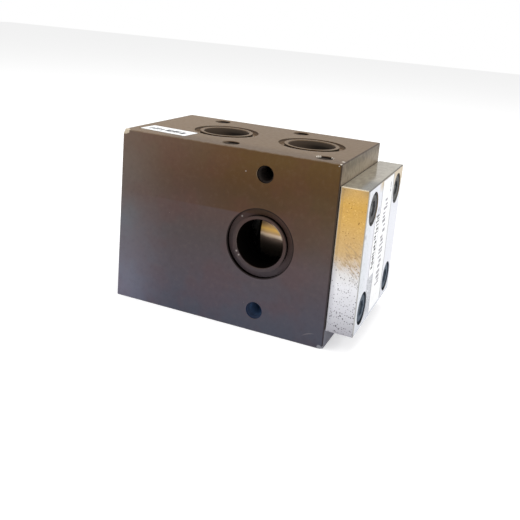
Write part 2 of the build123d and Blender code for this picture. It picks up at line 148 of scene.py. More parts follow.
class Finish:
    """One material, whose colour, roughness and relief its nodes work out from the piece's own coordinates."""

    def __init__(self, name, metallic=0.0, roughness=0.5, specular=0.5):
        self.material = bpy.data.materials.new(name)
        self.material.use_nodes = True
        self.tree = self.material.node_tree
        self.shader = self.tree.nodes["Principled BSDF"]
        self.metallic(metallic)
        self.roughness(roughness)
        self.specular(specular)
        self.place = self.node("ShaderNodeTexCoord").outputs["Object"]
        self.x, self.y, self.z = self.node("ShaderNodeSeparateXYZ", self.place).outputs
        normal = self.node("ShaderNodeNewGeometry").outputs["Normal"]
        self.facing_x, self.facing_y, self.facing_z = self.node("ShaderNodeSeparateXYZ", normal).outputs

    def node(self, kind, *values, **settings):
        """A new node, with its settings and with its first inputs joined to the values."""
        made = self.tree.nodes.new(kind)
        for key, value in settings.items():
            setattr(made, key, value)
        for value, socket in zip(values, made.inputs):
            self.join(value, socket)
        return made

    def join(self, value, socket):
        if isinstance(value, bpy.types.NodeSocket):
            self.tree.links.new(value, socket)
        else:
            socket.default_value = value

    def math(self, operation, *values):
        return self.node("ShaderNodeMath", *values, operation=operation).outputs[0]

    def plus(self, first, second):
        return self.math("ADD", first, second)

    def minus(self, first, second):
        return self.math("SUBTRACT", first, second)

    def size_of(self, value):
        """A value without its sign."""
        return self.math("ABSOLUTE", value)

    def faded(self, share, strength):
        return self.math("MULTIPLY", share, strength)

    def less(self, share):
        """What a share leaves of 1."""
        return self.minus(1.0, share)

    def joined(self, operation, values):
        """All the values, taken together one after another."""
        made = values[0]
        for value in values[1:]:
            made = self.math(operation, made, value)
        return made

    def all_of(self, *shares):
        """1 only where every share is 1."""
        return self.joined("MULTIPLY", shares)

    def any_of(self, *shares):
        """The largest of some shares or distances."""
        return self.joined("MAXIMUM", shares)

    def within(self, value, low, high):
        """0 below low, 1 above high, smooth between them. It runs the other way where low is above high."""
        ends = (low, high, 0.0, 1.0) if low < high else (high, low, 1.0, 0.0)
        return self.node("ShaderNodeMapRange", value, *ends, interpolation_type="SMOOTHSTEP").outputs[0]

    def band(self, value, start, full, fading, end):
        """1 from full to fading, and 0 before the start and after the end."""
        return self.all_of(self.within(value, start, full), self.within(value, end, fading))

    def line(self, value, number, half_width):
        """1 where the value is that number, 0 from the half width on."""
        return self.within(self.size_of(self.minus(value, number)), half_width, half_width / 2)

    def along_edge(self, first, second, outer, inner):
        """1 where both distances are below the inner one, 0 where either is above the outer one."""
        return self.within(self.any_of(first, second), outer, inner)

    def apart(self, point, along=(1.0, 1.0, 1.0)):
        """The distance from a point, counted in the directions given."""
        counted = self.node("ShaderNodeVectorMath", self.place, along, operation="MULTIPLY").outputs["Vector"]
        point = tuple(number * share for number, share in zip(point, along))
        return self.node("ShaderNodeVectorMath", counted, point, operation="DISTANCE").outputs["Value"]

    def near(self, point, reach):
        """1 at a point, falling to 0 at that distance from it."""
        return self.within(self.apart(point), reach, 0.0)

    def inside(self, axis, low, high):
        """How far a place lies inside the nearer of two ends, along X, Y or Z as 0, 1 or 2."""
        place = (self.x, self.y, self.z)[axis]
        return self.math("MINIMUM", self.minus(place, low[axis]), self.minus(high[axis], place))

    def box_depth(self, low, high):
        """How far a place lies inside the nearest face of a box."""
        return self.joined("MINIMUM", [self.inside(axis, low, high) for axis in range(3)])

    def edge_distance(self, low, high):
        """How far a place on a box's skin lies from the nearest of the box's edges."""
        across, deep, tall = (self.inside(axis, low, high) for axis in range(3))
        nearer = self.math("MINIMUM", across, deep)
        farther = self.any_of(across, deep)
        return self.any_of(nearer, self.math("MINIMUM", farther, tall))

    def moved(self, place, shift=0.0, lean=0.0, scale=(1.0, 1.0, 1.0)):
        """A place that is scaled, turned about Y and shifted."""
        return self.node("ShaderNodeMapping", place, (shift,) * 3, (0.0, lean, 0.0), scale).outputs[0]

    def noise(self, grain, detail=3.0, stretch=(1.0, 1.0, 1.0), shift=0.0, lean=0.0):
        """Soft cloudy noise, about 0 to 1, whose grains are that many metres across and lean about Y."""
        scale = tuple(along / grain for along in stretch)
        made = self.node("ShaderNodeTexNoise", self.moved(self.moved(self.place, lean=lean), shift, scale=scale))
        made.inputs["Scale"].default_value = 1.0
        made.inputs["Detail"].default_value = detail
        return made.outputs["Fac"]

    def spots(self, grain, share, size=0.34, shift=0.0):
        """1 in round spots, one in that share of the cells, whose radius is up to a part of the cell's size."""
        cells = self.node("ShaderNodeTexVoronoi", self.moved(self.place, shift, scale=(1 / grain,) * 3))
        cells.inputs["Scale"].default_value = 1.0
        chosen = self.node("ShaderNodeSeparateColor", cells.outputs["Color"]).outputs[0]
        reach = self.faded(self.within(chosen, 1 - share, 1.0), size)
        return self.within(self.minus(reach, cells.outputs["Distance"]), 0.0, 0.25 * size)

    def ramp(self, length, *stops):
        """A colour that follows a length. Each stop is a length in mm and the red, green and blue there."""
        low, high = stops[0][0], stops[-1][0]
        share = self.node("ShaderNodeMapRange", length, low * mm, high * mm).outputs[0]
        made = self.node("ShaderNodeValToRGB", share)
        while len(made.color_ramp.elements) < len(stops):
            made.color_ramp.elements.new(1.0)
        for element, (number, *shade) in zip(made.color_ramp.elements, stops):
            element.position = (number - low) / (high - low)
            element.color = rgb(*shade)
        return made.outputs[0]

    def mix(self, share, first, second):
        """A colour between two colours."""
        made = self.node("ShaderNodeMix", data_type="RGBA")
        for value, socket in zip((share, first, second), (made.inputs[0], made.inputs[6], made.inputs[7])):
            self.join(value, socket)
        return made.outputs[2]

    def over(self, colour, share, shade, strength=1.0):
        """The colour with a shade laid over it where the share says, and at most that strongly."""
        return self.mix(share if strength == 1.0 else self.faded(share, strength), colour, shade)

    def blend(self, share, first, second):
        """A number between two numbers."""
        made = self.node("ShaderNodeMix", share)
        self.join(first, made.inputs[2])
        self.join(second, made.inputs[3])
        return made.outputs[0]

    def colour(self, value):
        self.join(value, self.shader.inputs["Base Color"])

    def roughness(self, value):
        self.join(value, self.shader.inputs["Roughness"])

    def metallic(self, value):
        self.join(value, self.shader.inputs["Metallic"])

    def specular(self, value):
        self.join(value, self.shader.inputs["Specular IOR Level"])

    def relief(self, height, depth):
        """A bump of that depth where the height goes from 0 to 1, on top of any bump laid before it."""
        bump = self.node("ShaderNodeBump")
        bump.inputs["Distance"].default_value = depth
        self.join(height, bump.inputs["Height"])
        normal = self.shader.inputs["Normal"]
        if normal.is_linked:
            self.join(normal.links[0].from_socket, bump.inputs["Normal"])
        self.join(bump.outputs[0], normal)


def block_side_colour(skin):
    """The upright faces: a painted reflection, warm above a dividing line and blue-grey below it; paler on the
    left as painted light; warmer by the port.
    """
    cloud = skin.noise(30 * mm)
    height = skin.plus(skin.z, skin.faded(skin.minus(cloud, 0.5), 10 * mm))
    lower = skin.ramp(height, (3, 80, 82, 95), (14, 83, 81, 92), (30, 86, 78, 84), (48, 83, 74, 75),
                      (64, 89, 72, 68))
    brown = skin.ramp(height, (66, 87, 68, 60), (74, 86, 65, 53), (84, 91, 67, 51), (98, 101, 79, 61))
    olive = skin.ramp(height, (66, 85, 63, 46), (74, 82, 60, 39), (84, 87, 61, 34), (98, 96, 71, 38))
    upper = skin.mix(skin.within(skin.x, -36 * mm, 4 * mm), brown, olive)
    # Painted reflection: the warm upper colours above this line, the blue-grey lower ones below it.
    above_reflection_split = skin.minus(skin.plus(skin.faded(skin.x, -reflection_split_slope), skin.z), reflection_split_height)
    reflection_split_width = skin.blend(skin.within(skin.x, 10 * mm, 44 * mm), 1.2 * mm, 18 * mm)
    colour = skin.mix(skin.within(skin.math("DIVIDE", above_reflection_split, reflection_split_width), -0.5, 0.5), lower, upper)
    # Painted light: the left side made paler.
    left = skin.within(skin.x, -20 * mm, -74 * mm)
    painted_light_left = skin.ramp(height, (4, 118, 118, 135), (30, 111, 113, 124), (48, 105, 106, 112), (66, 102, 93, 88),
                     (97, 110, 93, 81))
    colour = skin.over(colour, skin.all_of(left, left), painted_light_left)
    right = skin.all_of(skin.within(skin.x, 18 * mm, 50 * mm),
                        skin.band(skin.z, 26 * mm, 40 * mm, 76 * mm, 92 * mm))
    warm = skin.ramp(skin.z, (40, 100, 88, 90), (58, 94, 77, 52))
    colour = skin.over(colour, right, warm, 0.4)
    beside_port = skin.near(Vector((36 * mm, block_low.y, 60 * mm)), 20 * mm)
    colour = skin.over(colour, beside_port, rgb(87, 63, 48), 0.6)
    blush = skin.within(skin.noise(22 * mm, shift=7.0), 0.42, 0.62)
    return skin.over(colour, blush, rgb(104, 62, 58), 0.16)


def block_top_colour(skin):
    """The top face: painted light makes it a little paler to the left, and darker along the front."""
    # Painted light: paler towards the left, with less of it along the front.
    colour = skin.mix(skin.within(skin.x, -20 * mm, -60 * mm), rgb(110, 90, 67), rgb(117, 96, 72))
    front_row = skin.all_of(skin.within(skin.y, -22 * mm, -37 * mm), skin.within(skin.x, -52 * mm, -34 * mm))
    return skin.over(colour, front_row, rgb(96, 77, 57))


def block_end_colour(skin):
    """The face behind the cover: scuffed, paler down towards the cover as painted light, and blue-grey below its
    middle as a painted reflection.
    """
    colour = skin.ramp(skin.y, (-38, 108, 93, 76), (-22, 106, 97, 79), (-6, 118, 108, 90), (12, 134, 120, 101),
                       (36, 136, 122, 102))
    # Painted light: paler down towards the cover.
    painted_light_by_cover = skin.ramp(skin.y, (-38, 146, 131, 112), (-22, 158, 145, 125), (-6, 162, 149, 129),
                         (12, 164, 150, 130), (36, 154, 140, 122))
    colour = skin.over(colour, skin.within(skin.z, 100 * mm, 90 * mm), painted_light_by_cover)
    far_top = skin.all_of(skin.within(skin.z, 95 * mm, 99 * mm), skin.within(skin.y, -12 * mm, 4 * mm))
    colour = skin.over(colour, far_top, rgb(100, 88, 73), 0.8)
    scuffs = skin.noise(1.6 * mm, 4.0, stretch=(1.0, 1.0, 0.5), shift=4.0)
    colour = skin.over(colour, skin.within(scuffs, 0.5, 0.68), rgb(66, 56, 44), 0.35)
    colour = skin.over(colour, skin.within(scuffs, 0.46, 0.3), rgb(178, 168, 146), 0.3)
    # Painted reflection: blue-grey below the middle.
    return skin.over(colour, skin.within(skin.z, 70 * mm, 20 * mm), rgb(108, 108, 121))


def label_shadow_ring(skin):
    """1 on the block's top, close round the label that lies turned on it, where a shadow is painted."""
    middle = (label_low + label_high) / 2
    cos, sin = math.cos(top_label_turn), math.sin(top_label_turn)
    aside = skin.minus(skin.x, middle.x)
    inward = skin.minus(skin.y, middle.y)
    along = skin.plus(skin.faded(aside, cos), skin.faded(inward, sin))
    across = skin.minus(skin.faded(inward, cos), skin.faded(aside, sin))
    past_ends = skin.minus(skin.size_of(along), top_label_size[0] / 2)
    past_sides = skin.minus(skin.size_of(across), top_label_size[1] / 2)
    on_top = skin.within(skin.minus(block_high.z, skin.z), 0.2 * mm, 0.1 * mm)
    return skin.all_of(skin.along_edge(past_ends, past_sides, 1.0 * mm, 0.4 * mm), on_top)


def block_edges(skin, colour):
    """Lays rubbed metal with a painted highlight along the block's edges, painted shade as dark lines along some
    of them, and a painted shadow round the label.
    """
    edge = skin.edge_distance(block_low, block_high)
    rub_and_highlight = skin.all_of(skin.within(edge, 0.6 * mm, 0.2 * mm), skin.within(skin.noise(5 * mm, 4.0), 0.35, 0.65))
    # Rubbed metal, and a painted highlight along the edges.
    colour = skin.over(colour, rub_and_highlight, rgb(160, 146, 132), 0.3)
    below_top, from_end = skin.minus(block_high.z, skin.z), skin.minus(block_high.x, skin.x)
    from_left, from_front = skin.minus(skin.x, block_low.x), skin.minus(skin.y, block_low.y)
    # Painted shade: dark lines along three edges, and a painted shadow round the label.
    for painted_shade_line, shade, strength in (
        (skin.along_edge(below_top, from_end, 0.8 * mm, 0.45 * mm), rgb(50, 36, 28), 0.75),
        (skin.along_edge(below_top, from_left, 0.9 * mm, 0.5 * mm), rgb(70, 60, 50), 0.6),
        (label_shadow_ring(skin), rgb(58, 46, 38), 0.6),
        (skin.along_edge(from_front, from_end, 0.9 * mm, 0.45 * mm), rgb(30, 20, 17), 0.7),
    ):
        colour = skin.over(colour, painted_shade_line, shade, strength)
    return colour


def right_and_up(skin):
    """0 below and left of the front port's middle, 1 above and right of it."""
    aside, above = skin.minus(skin.x, front_port.x), skin.minus(skin.z, front_port.z)
    return skin.within(skin.plus(aside, above), 0.0, 12 * mm)


def on_front(skin):
    """1 on the block's front face, 0 behind it."""
    return skin.within(skin.y, block_low.y + 0.6 * mm, block_low.y + 0.5 * mm)


def top_wall_colour(skin, depth):
    """Walls of the top face's holes, in painted light and shade: brown at the mouth and black deep down, with
    painted highlights on lips.
    """
    # Painted shade: darker deeper down.
    colour = skin.ramp(depth, (0.5, 92, 80, 69), (2.4, 72, 63, 55), (3.2, 46, 40, 35), (8, 44, 38, 33),
                       (20, 14, 14, 12))
    # Painted light on the walls at the left of each hole.
    lit_left_walls = skin.all_of(skin.within(skin.facing_x, 0.0, 0.8), skin.within(depth, 16 * mm, 8 * mm))
    colour = skin.over(colour, lit_left_walls, rgb(90, 76, 64), 0.7)
    outside_ports = skin.within(skin.size_of(skin.y), 21 * mm, 23 * mm)
    from_ports = [skin.apart(mounts[name]["pos_m"], along=(1.0, 1.0, 0.0))
                  for name in ("cooler_port", "inlet_port")]
    shaded_land_walls = skin.any_of(*(skin.line(apart, land_radius, 0.8 * mm) for apart in from_ports))
    # Painted shade on the bolt holes and on the land walls.
    colour = skin.over(colour, skin.any_of(outside_ports, shaded_land_walls), rgb(38, 31, 27))
    groove_walls = skin.any_of(*(skin.line(apart, groove_radius, 0.8 * mm) for apart in from_ports))
    # Painted light on the groove walls, lighter deeper down.
    groove_painted_light = skin.ramp(depth, (0.8, 96, 83, 72), (1.6, 150, 130, 110))
    colour = skin.over(colour, skin.all_of(groove_walls, skin.less(outside_ports)), groove_painted_light)
    # Painted highlights on the bolt holes' lips at their sides.
    side_lip_highlights = skin.all_of(outside_ports, skin.within(depth, 1.4 * mm, 0.6 * mm),
                            skin.within(skin.size_of(skin.facing_x), 0.5, 0.9))
    return skin.over(colour, side_lip_highlights, rgb(124, 107, 91))


def front_wall_colour(skin, depth):
    """Walls of the front face's holes: nearly black as painted shade, and blue in the lower bolt hole as a painted
    reflection.
    """
    # Painted shade: nearly black inside.
    colour = skin.ramp(depth, (0.5, 14, 9, 8), (3, 10, 8, 7), (14, 9, 8, 8))
    # Painted reflection: blue in the lower bolt hole, lighter deeper down.
    blue_reflection_low = skin.mix(skin.within(depth, 2 * mm, 7 * mm), rgb(40, 52, 76), rgb(85, 113, 155))
    return skin.over(colour, skin.within(skin.z, 22 * mm, 18 * mm), blue_reflection_low)


def block_hollows(skin, colour):
    """Colours the grooves' floors and the walls of all holes with painted light and shade. Also gives where the
    front's walls are.
    """
    depth = skin.box_depth(block_low, block_high)
    sunk = skin.within(depth, 0.15 * mm, 0.35 * mm)
    front_floor = skin.all_of(skin.within(skin.facing_y, -0.7, -0.9),
                              skin.within(skin.y, block_low.y + 4 * mm, block_low.y + 3 * mm))
    top_floor = skin.all_of(skin.within(skin.facing_z, 0.7, 0.9),
                            skin.within(skin.z, block_high.z - 4 * mm, block_high.z - 3 * mm))
    # Painted shade on the front groove's floor, stronger above and right of the port.
    shade = skin.plus(skin.faded(right_and_up(skin), 0.15), 0.08)
    colour = skin.over(colour, skin.all_of(sunk, front_floor, shade), rgb(44, 30, 26))
    # Painted light on the top grooves' floors.
    colour = skin.over(colour, skin.all_of(sunk, top_floor), rgb(136, 116, 96))
    wall = skin.all_of(sunk, skin.less(skin.any_of(front_floor, top_floor)))
    in_front = skin.all_of(skin.within(skin.size_of(skin.minus(skin.x, front_port.x)), 22 * mm, 21 * mm),
                           skin.within(skin.y, -20 * mm, -22 * mm))
    wall_light_and_shade = skin.mix(in_front, top_wall_colour(skin, depth), front_wall_colour(skin, depth))
    return skin.over(colour, wall, wall_light_and_shade), skin.all_of(wall, in_front)


def front_port_rims(skin, colour):
    """Darkens the land round the front port, and paints shade along the groove's inner and outer edges."""
    from_port = skin.apart(front_port, along=(1.0, 0.0, 1.0))
    land = skin.within(from_port, land_radius + 0.2 * mm, land_radius - 0.2 * mm)
    colour = skin.over(colour, skin.all_of(land, on_front(skin)), rgb(44, 32, 28), 0.4)
    # Painted shade along the land's edge above and right, and along the groove's outer edge.
    land_rim = skin.all_of(skin.line(from_port, land_radius, 0.5 * mm), right_and_up(skin))
    groove_rim = skin.line(from_port, groove_radius + 0.2 * mm, 0.5 * mm)
    shaded_rims = skin.any_of(skin.faded(groove_rim, 0.9), skin.faded(land_rim, 0.8))
    return skin.over(colour, skin.all_of(shaded_rims, on_front(skin)), rgb(20, 11, 9))


def worn_corners(skin, colour, mottle):
    """Lays bare metal over the block's upper left and lower right front corners."""
    top = Vector((block_low.x, block_low.y, block_high.z))
    bottom = Vector((block_high.x, block_low.y, block_low.z))
    foot = bottom + Vector((-1.8, 0, 0.9)) * mm
    close = skin.any_of(skin.near(top, 5.4 * mm), skin.near(foot, 2.0 * mm), skin.near(bottom, 2.6 * mm))
    bare = skin.all_of(skin.within(skin.plus(close, skin.faded(mottle, 1.4)), 0.86, 1.0),
                       skin.within(close, 0.04, 0.2))
    metal = skin.mix(skin.within(skin.z, 60 * mm, 40 * mm), rgb(200, 186, 164), rgb(146, 147, 154))
    return skin.over(colour, bare, metal)


def ding_and_glint_marks(skin):
    """1 in each ding and each painted glint, fading out at its rim."""
    corner = Vector((block_high.x, block_low.y, block_high.z))
    return skin.any_of(*(skin.within(skin.apart(corner + Vector(offset) * mm), reach * mm, reach * 0.5 * mm)
                         for offset, reach in dings_and_glints))


def front_glints(skin, colour):
    """Lays a faint curved scratch and a few painted glints on the front, and a painted highlight on a lip in its
    port.
    """
    scratch_centre = Vector((52.6 * mm, block_low.y, -4.3 * mm))
    scratch_middle = Vector((48.2 * mm, block_low.y, 6.8 * mm))
    arc = skin.line(skin.apart(scratch_centre), 12.0 * mm, 0.3 * mm)
    scratch = skin.faded(skin.all_of(arc, skin.near(scratch_middle, 4.8 * mm)), 0.2)
    glint_spots = [skin.near(Vector((x * mm, block_low.y + inset * mm, z * mm)), reach * mm)
              for x, inset, z, reach in glints]
    # The scratch, and the painted glints.
    colour = skin.over(colour, skin.any_of(scratch, *glint_spots), rgb(212, 202, 196), 0.85)
    # Painted highlight on the front port's lip.
    mouth = skin.line(skin.apart(front_port, along=(1.0, 0.0, 1.0)), port_radius, 0.7 * mm)
    right_side = skin.within(skin.minus(skin.x, front_port.x), 5 * mm, 8 * mm)
    lit_lip = skin.all_of(mouth, right_side, skin.within(skin.z, 54.5 * mm, 57.5 * mm), on_front(skin))
    return skin.over(colour, lit_lip, rgb(226, 204, 172), 0.4)


def block_finish():
    """Brown anodising under a painted reflection, warm at the top and blue-grey at the bottom; paler on the left
    as painted light; worn through at corners.
    """
    skin = Finish("block_anodised", roughness=0.45, specular=block_gloss)
    faces_up = skin.within(skin.facing_z, 0.5, 0.9)
    faces_cover = skin.within(skin.facing_x, 0.5, 0.9)
    colour = skin.mix(faces_up, block_side_colour(skin), block_top_colour(skin))
    colour = skin.over(colour, faces_cover, block_end_colour(skin))
    mottle = skin.noise(2.4 * mm, 4.0, shift=3.0)
    colour = skin.over(colour, skin.within(mottle, 0.5, 0.8), rgb(60, 50, 48), 0.14)
    colour = skin.over(colour, skin.within(mottle, 0.5, 0.2), rgb(150, 132, 118), 0.05)
    colour = skin.over(colour, skin.spots(5 * mm, 0.14, size=0.04), rgb(170, 160, 154), 0.4)
    colour = block_edges(skin, colour)
    colour, front_walls = block_hollows(skin, colour)
    colour = worn_corners(skin, front_port_rims(skin, colour), mottle)
    ding_and_glint_share = ding_and_glint_marks(skin)
    # Bare metal in each ding, and painted highlights on the bolt hole's rim and walls.
    colour = skin.over(colour, ding_and_glint_share, rgb(226, 217, 204), 0.85)
    skin.colour(front_glints(skin, colour))
    skin.specular(skin.faded(skin.less(front_walls), block_gloss))
    skin.roughness(skin.plus(skin.faded(mottle, 0.16), 0.36))
    skin.relief(skin.noise(0.9 * mm), 0.01 * mm)
    skin.relief(mottle, 0.015 * mm)
    skin.relief(ding_and_glint_share, -0.12 * mm)
    return skin.material


def gold_colour(metal, fine):
    """The painted yellow reflection on the cover's front: deeper high up, flecked, and browner at the two upper
    corners.
    """
    colour = metal.ramp(metal.z, (50, 196, 174, 141), (56, 194, 163, 115), (64, 196, 161, 104), (72, 200, 160, 90),
                        (80, 199, 157, 79), (89, 198, 162, 100))
    patchy = metal.noise(5 * mm, 4.0, shift=6.0)
    colour = metal.over(colour, metal.within(patchy, 0.45, 0.7), rgb(186, 146, 88), 0.3)
    colour = metal.over(colour, metal.within(fine, 0.52, 0.7), rgb(160, 118, 56), 0.3)
    colour = metal.over(colour, metal.within(fine, 0.42, 0.3), rgb(228, 198, 142), 0.35)
    corners = metal.any_of(metal.near(Vector((cover_low.x, cover_low.y, cover_high.z)), 9 * mm),
                           metal.near(Vector((cover_high.x, cover_low.y, cover_high.z)), 6 * mm))
    return metal.over(colour, corners, rgb(146, 124, 92), 0.6)


def cover_pits(metal):
    """Small pits below the painted yellow reflection, larger ones low down, and a few everywhere."""
    small = metal.all_of(metal.spots(0.9 * mm, 1.0, size=0.36), metal.within(metal.z, 58 * mm, 46 * mm))
    large = metal.all_of(metal.spots(1.8 * mm, 0.8, size=0.31, shift=2.0),
                         metal.within(metal.z, 34 * mm, 20 * mm))
    few = metal.spots(1.5 * mm, 0.9, size=0.24, shift=5.0)
    return metal.any_of(small, large, few)


def cover_front_colour(metal, fine, pits, left_edge_highlight):
    """The cover's narrow upright sides: a painted yellow reflection above a ragged edge, and pitted silver below
    it, darker low down as a painted reflection.
    """
    # Painted reflection: the silver darker low down.
    silver = metal.ramp(metal.z, (12, 164, 163, 170), (18, 182, 182, 188), (26, 200, 200, 206),
                        (38, 217, 217, 221), (44, 212, 210, 209), (50, 196, 186, 178))
    streaks = metal.noise(0.75 * mm, 4.0, stretch=(1.0, 1.0, 0.25), lean=math.radians(45))
    spread = metal.blend(metal.within(metal.x, cover_low.x, cover_high.x), 10 * mm, 26 * mm)
    # Painted reflection: yellow above this ragged edge, silver below it.
    reflection_edge = metal.plus(metal.z, metal.faded(metal.minus(streaks, 0.5), spread))
    layer = metal.within(reflection_edge, 44 * mm, 55 * mm)
    colour = metal.mix(layer, silver, gold_colour(metal, fine))
    from_block = metal.minus(metal.x, cover_low.x)
    from_outside = metal.minus(cover_high.x, metal.x)
    paled = metal.all_of(metal.within(from_outside, 3 * mm, 0.3 * mm), layer,
                         metal.within(metal.z, 66 * mm, 56 * mm))
    colour = metal.over(colour, paled, rgb(202, 182, 150), 0.5)
    glitter = metal.all_of(metal.spots(1.3 * mm, 0.7, size=0.4, shift=7.0), layer,
                           metal.band(metal.z, 60 * mm, 72 * mm, 82 * mm, 88 * mm))
    colour = metal.over(colour, glitter, rgb(244, 212, 132), 0.3)
    lower_left = metal.all_of(metal.within(from_block, 3.5 * mm, 1 * mm), metal.less(layer))
    colour = metal.over(colour, lower_left, rgb(166, 166, 173), 0.5)
    combed = metal.all_of(metal.within(streaks, 0.5, 0.62), metal.within(from_block, 0.0, 8 * mm),
                          metal.band(metal.z, 36 * mm, 46 * mm, 56 * mm, 66 * mm))
    colour = metal.over(colour, combed, rgb(128, 112, 96), 0.35)
    colour = metal.over(colour, pits, metal.mix(layer, rgb(66, 62, 68), rgb(132, 92, 46)), 0.85)
    brown_line = metal.all_of(metal.line(from_block, 1.5 * mm, 0.7 * mm), layer)
    colour = metal.over(colour, brown_line, rgb(140, 118, 88), 0.3)
    # Painted highlight along the edge next to the block.
    return metal.over(colour, left_edge_highlight, metal.mix(layer, rgb(190, 189, 194), rgb(186, 170, 146)))


def cover_outer_colour(metal, fine):
    """The cover's outer face: bright, greyer in front and low down, with a painted yellow-brown reflection by one
    screw and along the top.
    """
    colour = metal.mix(metal.within(fine, 0.3, 0.7), rgb(217, 218, 225), rgb(208, 210, 218))
    near_front = metal.within(metal.y, -22 * mm, -32 * mm)
    below_corner = metal.all_of(near_front, metal.within(metal.z, 86 * mm, 76 * mm))
    colour = metal.over(colour, below_corner, rgb(196, 202, 208), 0.5)
    colour = metal.over(colour, metal.within(metal.z, 26 * mm, 14 * mm), rgb(200, 203, 211))
    round_screw = metal.all_of(metal.within(metal.y, 17 * mm, 19 * mm), metal.within(metal.z, 74 * mm, 84 * mm))
    along_top = metal.all_of(metal.within(metal.z, 83 * mm, 88 * mm), metal.within(metal.y, -20 * mm, -12 * mm))
    # Painted reflection: yellow-brown by one screw and along the top.
    colour = metal.over(colour, metal.any_of(round_screw, along_top), rgb(188, 166, 126), 0.85)
    patch = metal.all_of(metal.band(metal.y, -24 * mm, -21 * mm, -11 * mm, -9 * mm),
                         metal.band(metal.z, 12 * mm, 20 * mm, 37 * mm, 39 * mm), metal.within(fine, 0.3, 0.6))
    colour = metal.over(colour, patch, rgb(140, 144, 150), 0.85)
    blotches = metal.within(metal.noise(2.2 * mm, 4.0, shift=9.0), 0.5, 0.66)
    colour = metal.over(colour, metal.all_of(near_front, blotches), rgb(160, 166, 164), 0.35)
    smudges = metal.any_of(metal.near(Vector((cover_high.x, -14.4 * mm, 74.6 * mm)), 2.4 * mm),
                           metal.near(Vector((cover_high.x, -38.2 * mm, 65.4 * mm)), 2.2 * mm))
    return metal.over(colour, smudges, rgb(118, 114, 120), 0.8)


def cover_top_colour(metal):
    """The cover's top: dull grey, with a dark place at its front outer corner."""
    clouds = metal.within(metal.noise(3 * mm, 4.0, stretch=(1, 0.4, 1)), 0.35, 0.65)
    colour = metal.mix(clouds, rgb(160, 153, 137), rgb(144, 136, 120))
    corner = metal.all_of(metal.within(metal.x, 65 * mm, 69 * mm), metal.within(metal.y, -12 * mm, -22 * mm))
    return metal.over(colour, corner, rgb(84, 82, 74), 0.8)


def cover_finish():
    """Bright machined aluminium with a painted yellow reflection on its upper half, pitted below it."""
    metal = Finish("cover_aluminium")
    fine = metal.noise(0.8 * mm)
    pits = cover_pits(metal)
    # A painted highlight along the edge next to the block.
    left_edge_highlight = metal.within(metal.minus(metal.x, cover_low.x), 0.7 * mm, 0.45 * mm)
    faces_up = metal.within(metal.facing_z, 0.5, 0.9)
    faces_out = metal.within(metal.facing_x, 0.5, 0.9)
    colour = metal.mix(faces_up, cover_front_colour(metal, fine, pits, left_edge_highlight), cover_top_colour(metal))
    colour = metal.over(colour, faces_out, cover_outer_colour(metal, fine))
    below_top, from_outside = metal.minus(cover_high.z, metal.z), metal.minus(cover_high.x, metal.x)
    from_front = metal.minus(metal.y, cover_low.y)
    # Painted highlight along the top front edge, and painted shade along the two outer edges.
    for edge, shade, strength in (
        (metal.along_edge(below_top, from_front, 0.55 * mm, 0.4 * mm), rgb(226, 214, 190), 0.6),
        (metal.along_edge(from_front, from_outside, 0.6 * mm, 0.4 * mm), rgb(140, 138, 130), 0.7),
        (metal.along_edge(below_top, from_outside, 0.7 * mm, 0.45 * mm), rgb(50, 44, 38), 0.85),
    ):
        colour = metal.over(colour, edge, shade, strength)
    # Painted shade on the walls of the screw bores, bluer low down as a painted reflection.
    bores = metal.within(metal.box_depth(cover_low, cover_high), 0.22 * mm, 0.35 * mm)
    bore_shade_and_reflection = metal.mix(metal.within(metal.z, 60 * mm, 40 * mm), rgb(112, 112, 113), rgb(52, 60, 70))
    metal.colour(metal.over(colour, bores, bore_shade_and_reflection))
    bright = metal.less(metal.any_of(left_edge_highlight, bores))
    metal.metallic(metal.blend(faces_up, metal.faded(bright, 0.8), 0.15))
    metal.specular(metal.blend(faces_up, 0.5, 0.15))
    metal.roughness(metal.blend(faces_up, metal.plus(metal.faded(fine, 0.2), 0.26), 0.12))
    metal.relief(fine, 0.004 * mm)
    metal.relief(metal.all_of(pits, metal.less(faces_up)), -0.1 * mm)
    return metal.material


def sleeve_finish():
    """A bright turned sleeve, with painted light on its front side: a yellow reflection above its middle, a bright
    band, shade below it and black shade at one end.
    """
    metal = Finish("sleeve_metal", metallic=0.6, roughness=0.36)
    turning = metal.noise(0.35 * mm, 2.0, stretch=(1.0, 0.02, 0.02))
    wander = metal.faded(metal.minus(metal.noise(4 * mm), 0.5), 1.2 * mm)
    slope = metal.faded(metal.minus(metal.x, 12 * mm), 0.06)
    height = metal.plus(metal.minus(metal.z, axis_z), metal.plus(wander, slope))
    # Painted light and shade: dark below the middle, a white band, a yellow reflection above.
    layer = metal.ramp(height, (-6.0, 68, 59, 52), (-2.2, 92, 76, 66), (-1.1, 110, 92, 80), (-0.1, 188, 166, 142),
                      (0.7, 208, 182, 154), (1.9, 184, 148, 100), (3.9, 226, 180, 92), (5.4, 203, 160, 100),
                      (7.0, 196, 162, 124))
    # Painted highlight band along the middle.
    glow = metal.all_of(metal.line(height, 0.2 * mm, 1.3 * mm), metal.within(metal.x, 17 * mm, 25 * mm))
    layer = metal.over(layer, glow, rgb(250, 240, 226), 0.3)
    # Painted shade: black at one end.
    painted_shade_end = metal.within(metal.x, 9.9 * mm, 9.4 * mm)
    layer = metal.over(layer, painted_shade_end, rgb(12, 11, 9))
    plain = metal.mix(metal.within(turning, 0.3, 0.7), rgb(176, 170, 160), rgb(202, 196, 184))
    # Painted only on the side that faces the front port; plain turned metal elsewhere.
    metal.colour(metal.mix(metal.within(metal.y, -8 * mm, -14 * mm), plain, layer))
    metal.metallic(metal.blend(painted_shade_end, 0.6, 1.0))
    metal.roughness(metal.blend(painted_shade_end, 0.36, 0.8))
    metal.relief(turning, 0.01 * mm)
    return metal.material


